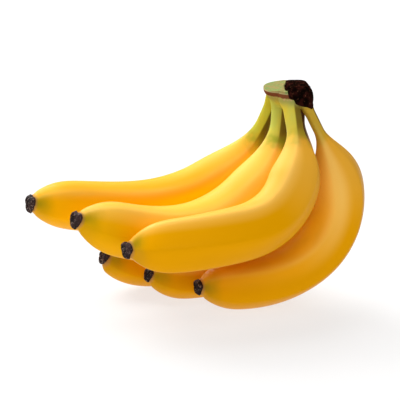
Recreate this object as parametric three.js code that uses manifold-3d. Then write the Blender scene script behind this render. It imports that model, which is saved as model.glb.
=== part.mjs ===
// A bunch of six ripe bananas: an upper row of three and an under row of three,
// grown together on one cut crown. Each banana ends in the dry stub of its flower.
//
// Millimetres and degrees, +Z up. The flower ends point towards -X, and each row
// spreads along Y. The origin is the middle of the bottom of the bunch's box: the
// under row rests on the plane z = 0.

import * as THREE from 'three';
import { mergeVertices } from 'three/addons/utils/BufferGeometryUtils.js';
import Module from 'manifold-3d';

const wasm = await Module();
wasm.setup();

// ------------------------------------------------------------- driving dimensions

// Each banana is swept along a bent middle line that starts at its root in the crown.
//   root        where the middle line starts
//   lean        angle of the neck from straight down, towards the flower end
//   curl        how far the middle line turns, root to flower end
//   curlSpan    the shares of the length where the turn starts and would be complete
//   splay       sideways angle towards +Y, at the root and at the flower end
//   neckBend    extra lean and splay at the root, gone at NECK_REACH
//   length      length of the middle line
//   radius      at the thickest place
//   neckRadius  of the slim neck, neckLength its length
//   shoulder    length over which the neck widens to the body
//   twist       turn of the five ridges, at the root and at the flower end
//   neckTwist   extra turn of the ridges at the root, gone at NECK_REACH
//   tipRadius   of the blunt flower end
//   scarRadius  of the dry scar in its middle, where the flower was
//   scarTurn    slant of the scar, and the angle round the ring that it is turned to
const BANANAS = {
  top_back: {
    root: [57.27, 6.72, 141.2], lean: 20.5, curl: 75.6, curlSpan: [-0.01, 0.785],
    splay: [18.9, 13.1], neckBend: [-6.7, -3], length: 205.8, radius: 18.8, neckRadius: 4.5,
    neckLength: 19.5, shoulder: 63.5, twist: [0, 0], neckTwist: 28, tipRadius: 7.2,
    scarRadius: 5.7, scarTurn: [12, 257],
  },
  top_middle: {
    root: [56.07, -3.88, 142.7], lean: 16.5, curl: 90, curlSpan: [0, 0.9], splay: [-6, 12.5],
    neckBend: [-8.5, -7.5], length: 199.6, radius: 19.6, neckRadius: 5.5, neckLength: 16.5,
    shoulder: 59, twist: [5, -14], neckTwist: 17, tipRadius: 6.4,
    scarRadius: 5.2, scarTurn: [17, 262],
  },
  top_front: {
    root: [52.67, -22.48, 145.0], lean: 3.5, curl: 80.9, curlSpan: [0.1, 0.66],
    splay: [-36.9, 29.4], neckBend: [2.1, 2.5], length: 186.1, radius: 18.8, neckRadius: 5.6,
    neckLength: 20.5, shoulder: 39.5, twist: [0, -38], neckTwist: 28, tipRadius: 6.4,
    scarRadius: 5.1, scarTurn: [30, 252],
  },
  under_back: {
    root: [66.57, 9.82, 141.7], lean: 6.5, curl: 111.5, curlSpan: [0.23, 1.07], splay: [24, 1.5],
    neckBend: [1, 0], length: 214, radius: 16, neckRadius: 4.5, neckLength: 34,
    shoulder: 53, twist: [0, 0], neckTwist: 0, tipRadius: 9.2,
    scarRadius: 4.9, scarTurn: [4, 267],
  },
  under_middle: {
    root: [67.07, -9.18, 141.7], lean: -7, curl: 117, curlSpan: [0.12, 1.08], splay: [13, 4.5],
    neckBend: [-2, 0.5], length: 205.5, radius: 15.9, neckRadius: 5.6, neckLength: 17,
    shoulder: 39.5, twist: [0, 0], neckTwist: 0, tipRadius: 6.8,
    scarRadius: 4.3, scarTurn: [2, 262],
  },
  under_front: {
    root: [61.57, -29.28, 142.5], lean: -33.8, curl: 122, curlSpan: [0.08, 0.905],
    splay: [-10.3, 22.5], neckBend: [8.3, 1.4], length: 201.3, radius: 19.3, neckRadius: 3.7,
    neckLength: 21, shoulder: 44, twist: [0, 0], neckTwist: 0, tipRadius: 7.2,
    scarRadius: 4.8, scarTurn: [16, 254],
  },
};

const NECK_REACH = 70;

// The under row's bellies are pressed flat where they rest on this plane.
const TABLE_HEIGHT = 0;

// Along a banana: how the shoulder widens, how much the two ends of the body are
// slimmer than its middle, and how the flower end closes.
const SHOULDER_START = 1.7;
const SHOULDER_END = 2.7;
const BODY_TAPER = 0.13;
const TIP_LENGTH = 34;
const TIP_ROUNDNESS = 3.2;

// Across a banana: five ridges, at these angles from the outer side of the bend, and
// four steps of the ring from one ridge to the next.
const RIDGES = [0, 68, 132, 228, 292];
const RIDGE_RELIEF = 0.085;
const STEPS_PER_FACE = 4;
const MEAN_HOLLOW = 2 / Math.PI;

// Rings along a banana: evenly spaced on the body, closer at the flower end, where the
// last ones close on the scar: [distance from the end, share of the way from the
// scar's radius out to the banana's]. The scar's slant fades out over SCAR_REACH, and
// grows no further out than SLANT_WIDEST times the scar's radius.
const RING_SPACING = 7.5;
const TIP_RINGS = [
  [26, 1], [19.5, 1], [14, 1], [9.5, 1], [6, 1], [3.2, 1], [1.4, 0.85], [0, 0.5], [-1.1, 0.16],
  [-1.6, 0],
];
const SCAR_AT = 1.6;
const SCAR_RIM = 1.06;
const SCAR_REACH = 13;
const SLANT_WIDEST = 1.15;

// The necks leave the crown as short roots, and each banana starts a small gap on.
const ROOT_LENGTH = 10;
const ROOT_INSIDE = 5;
const ROOT_FLARE = 1.25;
const ROOT_SIDES = 16;
const GAP = 0.3;

// The crown's pad: a rounded square with a level fresh cut on top, lofted through
// [height, share of full size, shift across, shift back].
const PAD_MIDDLE = [60.37, -4.48];
const PAD_HALF = [15.4, 19];
const PAD_TURN = -28;
const PAD_LAYERS = [
  [138.5, 0.42, 0, -1.5], [141, 0.56, 0, -2.5], [143.5, 0.72, 0, -2.5], [146.8, 0.91, 0, -1.4],
  [148, 0.98, 0, -0.3], [149.4, 1.01, 0, 0], [150.6, 0.99, 0, 0],
];
const PAD_SIDES = 36;
const PAD_SQUARENESS = 2.7;

// The old dried end stands over the front of the pad. Low down it narrows to a tongue
// over the neck of the under front banana. Its layers read as the pad's do.
const DRIED_MIDDLE = [62.97, -17.38];
const DRIED_HALF = [9.5, 17.5];
const DRIED_TURN = -28;
const DRIED_LAYERS = [
  [139.6, 0.34, 5.2, -9], [142, 0.52, 4.2, -8], [144.5, 0.78, 1.9, -4], [147.5, 0.97, 0.3, 0],
  [150.5, 0.95, -0.1, 0], [153, 0.86, -1.0, 0.4], [155, 0.77, -1.7, 1],
];
const DRIED_SIDES = 36;
const DRIED_SQUARENESS = 3.6;
const DRIED_LUMPS = 0.02;
const DRIED_LOBES = 4;

// The flower's dry stub: [distance from the banana, share of the scar's radius].
const STUB_GAP = 0.35;
const STUB_LAYERS = [[0, 0.98], [1, 1.0], [2.1, 0.92], [3, 0.7]];
const STUB_SIDES = 14;
const STUB_LUMPS = 0.06;
const STUB_LOBES = 5;
const STUB_PHASE = 35;

const PEEL = { color: 0xf2b32a, roughness: 0.42, metalness: 0 };
const CROWN = { color: 0x8a7a3c, roughness: 0.8, metalness: 0 };
const DRY = { color: 0x3a2a26, roughness: 0.9, metalness: 0 };

// ------------------------------------------------------------------------ helpers

const radians = THREE.MathUtils.degToRad;
const SIDEWAYS = new THREE.Vector3(0, 1, 0);
const UPWARDS = new THREE.Vector3(0, 0, 1);

function smoothStep(value) {
  const t = THREE.MathUtils.clamp(value, 0, 1);
  return t * t * (3 - 2 * t);
}

// A closed mesh through rings of equal count, with a flat cap on each end.
// The rings turn anticlockwise when seen from the last ring back to the first.
function loft(rings) {
  const sides = rings[0].length;
  const positions = rings.flat().flatMap((point) => point.toArray());
  const faces = [];
  for (let ring = 0; ring + 1 < rings.length; ring += 1) {
    for (let side = 0; side < sides; side += 1) {
      const here = ring * sides + side;
      const next = ring * sides + (side + 1) % sides;
      faces.push(here, next, next + sides);
      faces.push(here, next + sides, here + sides);
    }
  }
  const capCentre = (ring) => {
    const centre = new THREE.Vector3();
    ring.forEach((point) => centre.add(point));
    positions.push(...centre.divideScalar(sides).toArray());
    return positions.length / 3 - 1;
  };
  const first = capCentre(rings[0]);
  const last = capCentre(rings[rings.length - 1]);
  const lastRing = (rings.length - 1) * sides;
  for (let side = 0; side < sides; side += 1) {
    const next = (side + 1) % sides;
    faces.push(first, next, side);
    faces.push(last, lastRing + side, lastRing + next);
  }
  const geometry = new THREE.BufferGeometry();
  geometry.setAttribute('position', new THREE.Float32BufferAttribute(positions, 3));
  geometry.setIndex(faces);
  return geometry;
}

function toSolid(geometry) {
  const bare = geometry.clone();
  bare.deleteAttribute('normal');
  bare.deleteAttribute('uv');
  const merged = mergeVertices(bare, 1e-4);
  return new wasm.Manifold(new wasm.Mesh({
    numProp: 3,
    vertProperties: new Float32Array(merged.attributes.position.array),
    triVerts: new Uint32Array(merged.index.array),
  }));
}

function toGeometry(solid) {
  const mesh = solid.getMesh();
  const geometry = new THREE.BufferGeometry();
  geometry.setAttribute('position', new THREE.Float32BufferAttribute(mesh.vertProperties, 3));
  geometry.setIndex(Array.from(mesh.triVerts));
  return geometry;
}

function named(name, geometry, look) {
  geometry.computeVertexNormals();
  const mesh = new THREE.Mesh(geometry, new THREE.MeshStandardMaterial(look));
  mesh.name = name;
  return mesh;
}

// ------------------------------------------------------------------ banana shape

// Direction of the middle line at a distance from the root.
function headingAt(banana, distance) {
  const share = Math.max(distance / banana.length, 0);
  const [from, to] = banana.curlSpan;
  const inNeck = 1 - smoothStep(distance / NECK_REACH);
  const curled = banana.curl * smoothStep((share - from) / (to - from));
  const splayed = THREE.MathUtils.lerp(banana.splay[0], banana.splay[1], share);
  const bend = radians(banana.lean + curled + banana.neckBend[0] * inNeck);
  const sway = radians(splayed + banana.neckBend[1] * inNeck);
  const across = Math.cos(sway);
  return new THREE.Vector3(-across * Math.sin(bend), Math.sin(sway), -across * Math.cos(bend));
}

// Point on the middle line: the headings added up in short steps.
function middleAt(banana, distance) {
  const point = new THREE.Vector3(...banana.root);
  const steps = Math.max(Math.ceil(Math.abs(distance)), 1);
  const step = distance / steps;
  for (let k = 0; k < steps; k += 1) {
    point.addScaledVector(headingAt(banana, (k + 0.5) * step), step);
  }
  return point;
}

// Radius of a round banana, before its ridges.
function radiusAt(banana, distance) {
  const body = banana.length - banana.neckLength;
  const alongBody = THREE.MathUtils.clamp((distance - banana.neckLength) / body, 0, 1);
  const full = banana.radius * (1 - BODY_TAPER * (2 * alongBody - 1) ** 2);
  const widening = THREE.MathUtils.clamp((distance - banana.neckLength) / banana.shoulder, 0, 1);
  const filled = 1 - (1 - widening ** SHOULDER_START) ** SHOULDER_END;
  const open = THREE.MathUtils.lerp(banana.neckRadius, full, filled);
  const toTip = THREE.MathUtils.clamp((banana.length - distance) / TIP_LENGTH, 0, 1);
  const closing = 1 - (1 - toTip) ** TIP_ROUNDNESS;
  return THREE.MathUtils.lerp(banana.tipRadius, open, closing);
}

// The ring's angles, with a corner on each ridge, and how far each corner stands out.
function ringAngles() {
  const angles = [];
  RIDGES.forEach((ridge, index) => {
    const nextRidge = index + 1 < RIDGES.length ? RIDGES[index + 1] : RIDGES[0] + 360;
    for (let step = 0; step < STEPS_PER_FACE; step += 1) {
      const share = step / STEPS_PER_FACE;
      const relief = 1 + RIDGE_RELIEF * (MEAN_HOLLOW - Math.sin(Math.PI * share));
      angles.push({ angle: THREE.MathUtils.lerp(ridge, nextRidge, share), relief });
    }
  });
  return angles;
}

const RING = ringAngles();

// One ring of points round the middle line. Angle 0 is the outer side of the bend,
// and the angle grows towards +Y, which is clockwise, so the ring is listed in reverse.
function ringAt(banana, distance, corners, radius) {
  const centre = middleAt(banana, distance);
  const ahead = headingAt(banana, distance);
  const side = SIDEWAYS.clone().addScaledVector(ahead, -SIDEWAYS.dot(ahead)).normalize();
  const outer = ahead.clone().cross(side);
  const [slant, facing] = banana.scarTurn.map(radians);
  const nearEnd = smoothStep(1 - (banana.length - distance) / SCAR_REACH);
  const slope = nearEnd * Math.tan(slant);
  const widest = banana.scarRadius * SLANT_WIDEST;
  const share = THREE.MathUtils.clamp(distance / banana.length, 0, 1);
  const inNeck = 1 - smoothStep(distance / NECK_REACH);
  const [atRoot, atEnd] = banana.twist;
  const twist = THREE.MathUtils.lerp(atRoot, atEnd, share) + banana.neckTwist * inNeck;
  return corners.map(({ angle, relief }) => {
    const turned = radians(angle + twist);
    const reach = radius * relief;
    const back = slope * Math.min(reach, widest) * Math.cos(turned - facing);
    return centre.clone()
      .addScaledVector(outer, reach * Math.cos(turned))
      .addScaledVector(side, reach * Math.sin(turned))
      .addScaledVector(ahead, -back);
  }).reverse();
}

function bananaRings(banana) {
  const start = ROOT_LENGTH + GAP;
  const bodyEnd = banana.length - TIP_LENGTH;
  const count = Math.round((bodyEnd - start) / RING_SPACING);
  const places = [];
  for (let k = 0; k <= count; k += 1) {
    places.push([THREE.MathUtils.lerp(start, bodyEnd, k / count), 1]);
  }
  TIP_RINGS.forEach(([fromEnd, size]) => places.push([banana.length - fromEnd, size]));
  const rim = banana.scarRadius * SCAR_RIM;
  return places.map(([distance, size]) => (
    ringAt(banana, distance, RING, THREE.MathUtils.lerp(rim, radiusAt(banana, distance), size))
  ));
}

// Everything below the table plane.
function underTable() {
  const size = 1000;
  const block = new THREE.BoxGeometry(size, size, size);
  block.translate(0, 0, TABLE_HEIGHT - size / 2);
  return toSolid(block);
}

function bananaGeometry(banana) {
  const solid = toSolid(loft(bananaRings(banana)));
  return toGeometry(solid.subtract(underTable()));
}

// -------------------------------------------------------------- flower end stubs

function roundCorners(sides, lumps, lobes) {
  return Array.from({ length: sides }, (_, k) => {
    const angle = 360 * k / sides;
    return { angle, relief: 1 + lumps * Math.sin(radians(lobes * angle + STUB_PHASE)) };
  });
}

function stubGeometry(banana) {
  const corners = roundCorners(STUB_SIDES, STUB_LUMPS, STUB_LOBES);
  const rings = STUB_LAYERS.map(([ahead, size]) => (
    ringAt(banana, banana.length + SCAR_AT + STUB_GAP + ahead, corners, banana.scarRadius * size)
  ));
  return loft(rings);
}

// -------------------------------------------------------------------------- crown

// One level ring of the crown: a squared oval, anticlockwise from above.
function ovalRing(oval, height, size, across, back) {
  const power = 2 / oval.squareness;
  const squared = (value) => Math.sign(value) * Math.abs(value) ** power;
  return Array.from({ length: oval.sides }, (_, k) => {
    const angle = 2 * Math.PI * k / oval.sides;
    const waved = size * (1 + oval.lumps * Math.sin(DRIED_LOBES * angle + height));
    const x = oval.half[0] * waved * squared(Math.cos(angle)) + across;
    const y = oval.half[1] * waved * squared(Math.sin(angle)) + back;
    const corner = new THREE.Vector3(x, y, height);
    corner.applyAxisAngle(UPWARDS, radians(oval.turn));
    return corner.add(new THREE.Vector3(...oval.middle, 0));
  });
}

function padGeometry() {
  const oval = {
    middle: PAD_MIDDLE, half: PAD_HALF, turn: PAD_TURN,
    sides: PAD_SIDES, squareness: PAD_SQUARENESS, lumps: 0,
  };
  return loft(PAD_LAYERS.map((layer) => ovalRing(oval, ...layer)));
}

function driedEndGeometry() {
  const oval = {
    middle: DRIED_MIDDLE, half: DRIED_HALF, turn: DRIED_TURN,
    sides: DRIED_SIDES, squareness: DRIED_SQUARENESS, lumps: DRIED_LUMPS,
  };
  return loft(DRIED_LAYERS.map((layer) => ovalRing(oval, ...layer)));
}

// The stretch of neck that belongs to the crown, flaring as it enters the pad.
function neckRootGeometry(banana) {
  const corners = roundCorners(ROOT_SIDES, 0, 1);
  const distances = [-ROOT_INSIDE, 0, ROOT_LENGTH / 2, ROOT_LENGTH];
  return loft(distances.map((distance) => {
    const left = THREE.MathUtils.clamp(1 - distance / ROOT_LENGTH, 0, 1);
    const flare = 1 + (ROOT_FLARE - 1) * left ** 2;
    return ringAt(banana, distance, corners, banana.neckRadius * flare);
  }));
}

function crownGeometry() {
  let solid = toSolid(padGeometry()).add(toSolid(driedEndGeometry()));
  Object.values(BANANAS).forEach((banana) => {
    solid = solid.add(toSolid(neckRootGeometry(banana)));
  });
  return toGeometry(solid);
}

// -------------------------------------------------------------------------- bunch

const bunch = new THREE.Group();
bunch.add(named('crown', crownGeometry(), CROWN));
Object.entries(BANANAS).forEach(([place, banana]) => {
  bunch.add(named(`banana_${place}`, bananaGeometry(banana), PEEL));
  bunch.add(named(`flower_end_${place}`, stubGeometry(banana), DRY));
});

// The box's bottom middle becomes the origin.
const box = new THREE.Box3().setFromObject(bunch);
bunch.position.set(-(box.min.x + box.max.x) / 2, -(box.min.y + box.max.y) / 2, -box.min.z);
bunch.updateMatrixWorld(true);

export default bunch;
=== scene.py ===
# %% [markdown]
# # A bunch of bananas
#
# Six ripe bananas hang from one crown, which was cut off the big stem of the
# plant. The lesson dresses plain solids of them: it swaps each banana for a
# smooth one with soft ridges, rebuilds the crown with its webbed necks, and
# paints everything with procedural materials. The solids come first, because
# every new piece sits exactly where its solid is.

# %% Load the solids
import math

import bpy
import numpy as np
from mathutils import Matrix, Vector, noise


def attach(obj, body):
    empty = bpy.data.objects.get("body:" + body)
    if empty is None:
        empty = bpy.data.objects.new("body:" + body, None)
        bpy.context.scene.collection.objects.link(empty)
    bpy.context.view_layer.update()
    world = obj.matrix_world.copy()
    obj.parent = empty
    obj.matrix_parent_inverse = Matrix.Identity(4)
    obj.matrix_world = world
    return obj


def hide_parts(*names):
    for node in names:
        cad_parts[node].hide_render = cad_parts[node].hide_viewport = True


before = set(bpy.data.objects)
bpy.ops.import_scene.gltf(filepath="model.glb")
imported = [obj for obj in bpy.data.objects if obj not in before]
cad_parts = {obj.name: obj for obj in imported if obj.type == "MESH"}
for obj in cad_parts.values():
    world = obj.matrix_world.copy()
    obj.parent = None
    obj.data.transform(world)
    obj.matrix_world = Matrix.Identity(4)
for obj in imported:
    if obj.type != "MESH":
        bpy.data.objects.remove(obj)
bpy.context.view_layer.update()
MM = 0.001


def add_object(name, data):
    made = bpy.data.objects.new(name, data)
    bpy.context.scene.collection.objects.link(made)
    return made


print("solids:", ", ".join(sorted(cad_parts)))

# %% [markdown]
# ## The camera
#
# Fruit looks its natural size from about a metre away through a long lens. A
# short lens close by would swell the nearest banana. The camera is placed by two
# angles, how far round the bunch it stands and how high above the table, because
# those are easier to change than a place and three rotations.

# %% Place the camera
CAMERA_ROUND, CAMERA_ABOVE = -27.7, 15.5
CAMERA_DISTANCE = 983.5 * MM
CAMERA_AIM = Vector((0.67, 8.82, 74.3)) * MM
CAMERA_LENS, SENSOR_WIDTH = 127.9, 36
NEAREST_SEEN, FURTHEST_SEEN = 0.05, 50


def camera_axes(round_degrees, above_degrees):
    """Right, up and back of an eye that looks at the bunch from these angles."""
    a, e = math.radians(round_degrees), math.radians(above_degrees)
    right = Vector((math.cos(a), math.sin(a), 0))
    back = Vector((math.sin(a) * math.cos(e), -math.cos(a) * math.cos(e), math.sin(e)))
    return right, back.cross(right), back


def place_camera():
    right, up, back = camera_axes(CAMERA_ROUND, CAMERA_ABOVE)
    data = bpy.data.cameras.new("camera")
    data.lens, data.sensor_width = CAMERA_LENS, SENSOR_WIDTH
    data.clip_start, data.clip_end = NEAREST_SEEN, FURTHEST_SEEN
    camera = add_object("camera", data)
    turn = Matrix((right, up, back)).transposed().to_4x4()
    camera.matrix_world = Matrix.Translation(CAMERA_AIM + back * CAMERA_DISTANCE) @ turn
    bpy.context.scene.camera = camera
    return camera


print("camera at", [round(v, 3) for v in place_camera().location])

# %% [markdown]
# ## The shape of a banana, in numbers
#
# A banana is a bent tube, so a few numbers say nearly all of it: where its neck
# leaves the crown, how far it leans from straight down, between which shares of
# its length it curls, how it splays sideways at the neck and at the tip, and the
# bend that the neck adds. The rest says how thick and twisted it is, and how the
# scar of its flower slants. The same numbers made the solids, so both have one
# shape. Lengths are in millimetres and angles in degrees.

# %% Write the bunch's table
BANANAS = {
    "top_back": dict(
        root=(57.27, 6.72, 141.2), lean=20.5, curl=75.6, curl_span=(-0.01, 0.785),
        splay=(18.9, 13.1), neck_bend=(-6.7, -3), length=205.8, radius=18.8, neck_radius=4.5,
        neck_length=19.5, neck_twist=28, shoulder=63.5, tip_radius=7.2, scar_radius=5.7,
        scar_turn=(12, 257)),
    "top_middle": dict(
        root=(56.07, -3.88, 142.7), lean=16.5, curl=90, curl_span=(0, 0.9),
        splay=(-6, 12.5), neck_bend=(-8.5, -7.5), length=199.6, radius=19.6, neck_radius=5.5,
        neck_length=16.5, neck_twist=17, twist=(5, -14), shoulder=59, tip_radius=6.4,
        scar_radius=5.2, scar_turn=(17, 262)),
    "top_front": dict(
        root=(52.67, -22.48, 145.0), lean=3.5, curl=80.9, curl_span=(0.1, 0.66),
        splay=(-36.9, 29.4), neck_bend=(2.1, 2.5), length=186.1, radius=18.8, neck_radius=5.6,
        neck_length=20.5, neck_twist=28, twist=(0, -38), shoulder=39.5, tip_radius=6.4,
        scar_radius=5.1, scar_turn=(30, 252)),
    "under_back": dict(
        root=(66.57, 9.82, 141.7), lean=6.5, curl=111.5, curl_span=(0.23, 1.07),
        splay=(24, 1.5), neck_bend=(1, 0), length=214, radius=16, neck_radius=4.5,
        neck_length=34, shoulder=53, tip_radius=9.2, scar_radius=4.9, scar_turn=(4, 267)),
    "under_middle": dict(
        root=(67.07, -9.18, 141.7), lean=-7, curl=117, curl_span=(0.12, 1.08),
        splay=(13, 4.5), neck_bend=(-2, 0.5), length=205.5, radius=15.9, neck_radius=5.6,
        neck_length=17, shoulder=39.5, tip_radius=6.8, scar_radius=4.3, scar_turn=(2, 262)),
    "under_front": dict(
        root=(61.57, -29.28, 142.5), lean=-33.8, curl=122, curl_span=(0.08, 0.905),
        splay=(-10.3, 22.5), neck_bend=(8.3, 1.4), length=201.3, radius=19.3, neck_radius=3.7,
        neck_length=21, shoulder=44, tip_radius=7.2, scar_radius=4.8, scar_turn=(16, 254)),
}
print(len(BANANAS), "bananas, middle lines", sorted(b["length"] for b in BANANAS.values()), "mm")

# %% [markdown]
# ## The middle line
#
# The line could be drawn by hand as a curve object, but then its length and bend
# would be hidden in handle positions. Here the direction at every distance comes
# from the table, and adding up small steps in that direction gives the line.

# %% Follow the middle line
NECK_REACH, STEP = 70, 0.25
LINE_BEFORE, LINE_AFTER = 8, 12


def mix(a, b, share):
    return a + (b - a) * share


def smooth_step(value):
    """0 below 0, 1 above 1, and a slope eased at both ends between."""
    t = np.clip(value, 0, 1)
    return t * t * (3 - 2 * t)


def in_neck(distance):
    """1 at the root, fading to 0 over the reach of the neck."""
    return 1 - smooth_step(distance / NECK_REACH)


def heading(banana, distance):
    """Which way the middle line goes at a distance from the root."""
    share = np.maximum(distance / banana["length"], 0)
    start, end = banana["curl_span"]
    neck_bend, neck_sway = banana["neck_bend"]
    curled = banana["curl"] * smooth_step((share - start) / (end - start))
    bend = np.radians(banana["lean"] + curled + neck_bend * in_neck(distance))
    sway = np.radians(mix(*banana["splay"], share) + neck_sway * in_neck(distance))
    return np.stack([-np.cos(sway) * np.sin(bend), np.sin(sway), -np.cos(sway) * np.cos(bend)], -1)


def middle_line(banana, distance):
    grid = np.arange(-LINE_BEFORE, banana["length"] + LINE_AFTER, STEP)
    moved = np.cumsum(heading(banana, grid + STEP / 2) * STEP, axis=0)
    places = np.vstack([[0, 0, 0], moved[:-1]])
    at_root = np.array([np.interp(0, grid, places[:, k]) for k in range(3)])
    places += np.array(banana["root"]) - at_root
    return np.stack([np.interp(distance, grid, places[:, k]) for k in range(3)], -1)


for place, banana in BANANAS.items():
    tip = middle_line(banana, np.array([float(banana["length"])]))[0]
    print(f"{place}: flower end at", [round(float(v), 1) for v in tip], "mm")

# %% [markdown]
# ## Rings round the line
#
# A ring of skin needs two more directions: out of the bend, from which its angles
# are counted, and sideways. The ridges turn about the line as it goes, most of
# all in the neck. At the flower end the rings slant, as the scar there does.

# %% Place a ring
SIDEWAYS = (0, 1, 0)
SCAR_REACH, SLANT_WIDEST = 13, 1.15


def ridge_turn(banana, distance):
    """How far the ridges have turned about the middle line."""
    share = np.clip(distance / banana["length"], 0, 1)
    twist = mix(*banana.get("twist", (0, 0)), share)
    return twist + banana.get("neck_twist", 0) * in_neck(distance)


def ring_axes(banana, distance):
    ahead = heading(banana, distance)
    side = np.array(SIDEWAYS) - ahead * ahead[..., 1:2]
    side /= np.linalg.norm(side, axis=-1, keepdims=True)
    return np.cross(ahead, side), side


def ring_points(banana, distance, turned, reach):
    """Points round the line, a row for each distance, slanting back towards the scar."""
    outer, side = ring_axes(banana, distance)
    out = outer[:, None] * np.cos(turned)[..., None] + side[:, None] * np.sin(turned)[..., None]
    slant, facing = np.radians(banana["scar_turn"])
    slope = np.tan(slant) * smooth_step(1 - (banana["length"] - distance) / SCAR_REACH)
    widest = np.minimum(reach, banana["scar_radius"] * SLANT_WIDEST)
    back = slope[:, None] * widest * np.cos(turned - facing)
    line, ahead = middle_line(banana, distance)[:, None], heading(banana, distance)[:, None]
    return line + reach[..., None] * out - back[..., None] * ahead


print("ridges turned at the necks by", [round(float(ridge_turn(b, 0))) for b in BANANAS.values()])

# %% [markdown]
# ## Thickness and ridges
#
# A banana is not round. It grew squeezed among its neighbours, and five ridges
# run from neck to tip with flatter faces between them. They are softly rounded,
# so the profile is a sine whose corner is eased a little. The neck is slim and
# widens over a shoulder, and the flower end closes quickly.

# %% Give the thickness and the ridges
SHOULDER_START, SHOULDER_END = 1.7, 2.7
BODY_TAPER = 0.13
TIP_LENGTH, TIP_ROUNDNESS = 34, 3.2
RIDGES = (0, 68, 132, 228, 292)
RIDGE_RELIEF, RIDGE_EASE = 0.105, 0.08


def thickness(banana, distance):
    """The radius of the fruit, before its ridges."""
    body = banana["length"] - banana["neck_length"]
    past_neck = distance - banana["neck_length"]
    from_middle = 2 * np.clip(past_neck / body, 0, 1) - 1
    full = banana["radius"] * (1 - BODY_TAPER * from_middle ** 2)
    widening = np.clip(past_neck / banana["shoulder"], 0, 1)
    filled = 1 - (1 - widening ** SHOULDER_START) ** SHOULDER_END
    opened = mix(banana["neck_radius"], full, filled)
    to_tip = np.clip((banana["length"] - distance) / TIP_LENGTH, 0, 1)
    return mix(banana["tip_radius"], opened, 1 - (1 - to_tip) ** TIP_ROUNDNESS)


def face_share(angle):
    """How far an angle has gone across its face, 0 on one ridge and 1 on the next."""
    ridges = np.array(RIDGES + (360,))
    index = np.searchsorted(ridges, angle % 360, side="right") - 1
    index = np.clip(index, 0, len(RIDGES) - 1)
    return (angle % 360 - ridges[index]) / (ridges[index + 1] - ridges[index])


def ridge_profile(angle):
    """Reach of the skin at an angle, as a share of the radius."""
    across = np.sin(np.pi * face_share(angle))
    hollow = np.sqrt(across ** 2 + RIDGE_EASE ** 2) - RIDGE_EASE
    return 1 + RIDGE_RELIEF * (0.5 - hollow)


print("thickest places:", [round(2 * float(thickness(b, np.arange(0, b["length"])).max()), 1)
                           for b in BANANAS.values()], "mm")

# %% [markdown]
# ## Each neck has its own colour
#
# Some necks stay green longest, some have gone brown, and past one ridge the faces
# of each dull to olive brown: partly the skin's own brown, and partly painted shade
# on the faces turned from the light. The table gives a neck two colours, which noise
# will mix, and the angle of that ridge. The peel and the crown read the same
# table, so they meet in one colour.

# %% Choose the necks' colours
# Where the brown and painted shade begin past the ridge, how far they run, and their fade.
BROWN_SHADE_RISE, BROWN_SHADE_SPAN, BROWN_SHADE_FADE = 11, 130, 33


def tint(red, green, blue):
    """A screen colour, 0 to 255, as the linear colour that shaders use."""
    return tuple((v / 255 / 12.92) if v <= 10 else ((v / 255 + 0.055) / 1.055) ** 2.4
                 for v in (red, green, blue))


NECK_LOOKS = {
    "top_back": (tint(206, 190, 52), tint(190, 192, 66), 228),
    "top_middle": (tint(206, 196, 74), tint(192, 198, 86), 228),
    "top_front": (tint(212, 194, 68), tint(200, 194, 82), 228),
    "under_back": (tint(150, 118, 36), tint(130, 108, 36), 292),
    # The under row's middle neck is this dark partly by its own brown, partly as painted shadow
    # behind its neighbour.
    "under_middle": (tint(94, 62, 24), tint(74, 46, 20), 292),
    "under_front": (tint(206, 162, 46), tint(196, 162, 54), 292),
}


def brown_shaded_side(place, angle):
    """1 on the faces of a neck that turn brown and take painted shade, past the ridge where they
    start.
    """
    past = (angle - NECK_LOOKS[place][2]) % 360
    return smooth_step(past / BROWN_SHADE_RISE) * (1 - smooth_step((past - BROWN_SHADE_SPAN) / BROWN_SHADE_FADE))


print("neck colours for", ", ".join(NECK_LOOKS))

# %% [markdown]
# ## Turning rings into a mesh
#
# Rings of points, joined by four-sided faces, make any tube-like piece. Building
# the mesh directly is quicker and more exact than bending a ready-made tube, and
# every point can carry numbers of its own, which Blender calls attributes and
# this lesson calls notes. A point that knows its place on the fruit lets a green
# neck or a dark tip follow the banana's shape instead of the room's axes.

# %% Write the mesh helper
def tube_faces(rings, around):
    """Faces of a closed tube whose rings turn clockwise about the way ahead."""
    pairs = [(k, (k + 1) % around) for k in range(around)]
    first, last, base = rings * around, rings * around + 1, (rings - 1) * around
    faces = [(here + a, here + around + a, here + around + b, here + b)
             for here in range(0, base, around) for a, b in pairs]
    for a, b in pairs:
        faces += [(first, a, b), (last, base + b, base + a)]
    return faces


def close_tube(rings):
    """The points of the rings with the middle of each end added."""
    return np.vstack([rings.reshape(-1, 3), rings[0].mean(0), rings[-1].mean(0)])


def end_notes(values):
    """Notes of shape rings x around, with the two end points added."""
    return np.concatenate([values.reshape(-1), [values[0].mean()], [values[-1].mean()]])


def make_piece(name, points, faces, notes=None):
    """A smooth mesh in metres, with notes on its points."""
    mesh = bpy.data.meshes.new(name)
    mesh.from_pydata((np.asarray(points) * MM).tolist(), [], faces)
    mesh.polygons.foreach_set("use_smooth", [True] * len(mesh.polygons))
    for note, values in (notes or {}).items():
        values = np.asarray(values, dtype=np.float32)
        vector = values.ndim == 2
        field = mesh.attributes.new(note, "FLOAT_VECTOR" if vector else "FLOAT", "POINT")
        field.data.foreach_set("vector" if vector else "value", values.ravel())
    mesh.update()
    piece = add_object(name, mesh)
    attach(piece, "root")
    return piece


print("a tube of 3 rings of 8 points has", len(tube_faces(3, 8)), "faces")

# %% [markdown]
# ## Uneven skin
#
# No real banana is perfectly even, so slow waves, different for each fruit,
# swell and bend its skin by a few tenths of a millimetre, and a small trim takes
# back what they add. The ridges grow calmer where the fruit closes. The under
# row rests on the table, and ripe fruit gives a little there: its belly is eased
# flat, not cut. A Displace modifier would know neither ridges nor table.

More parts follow.
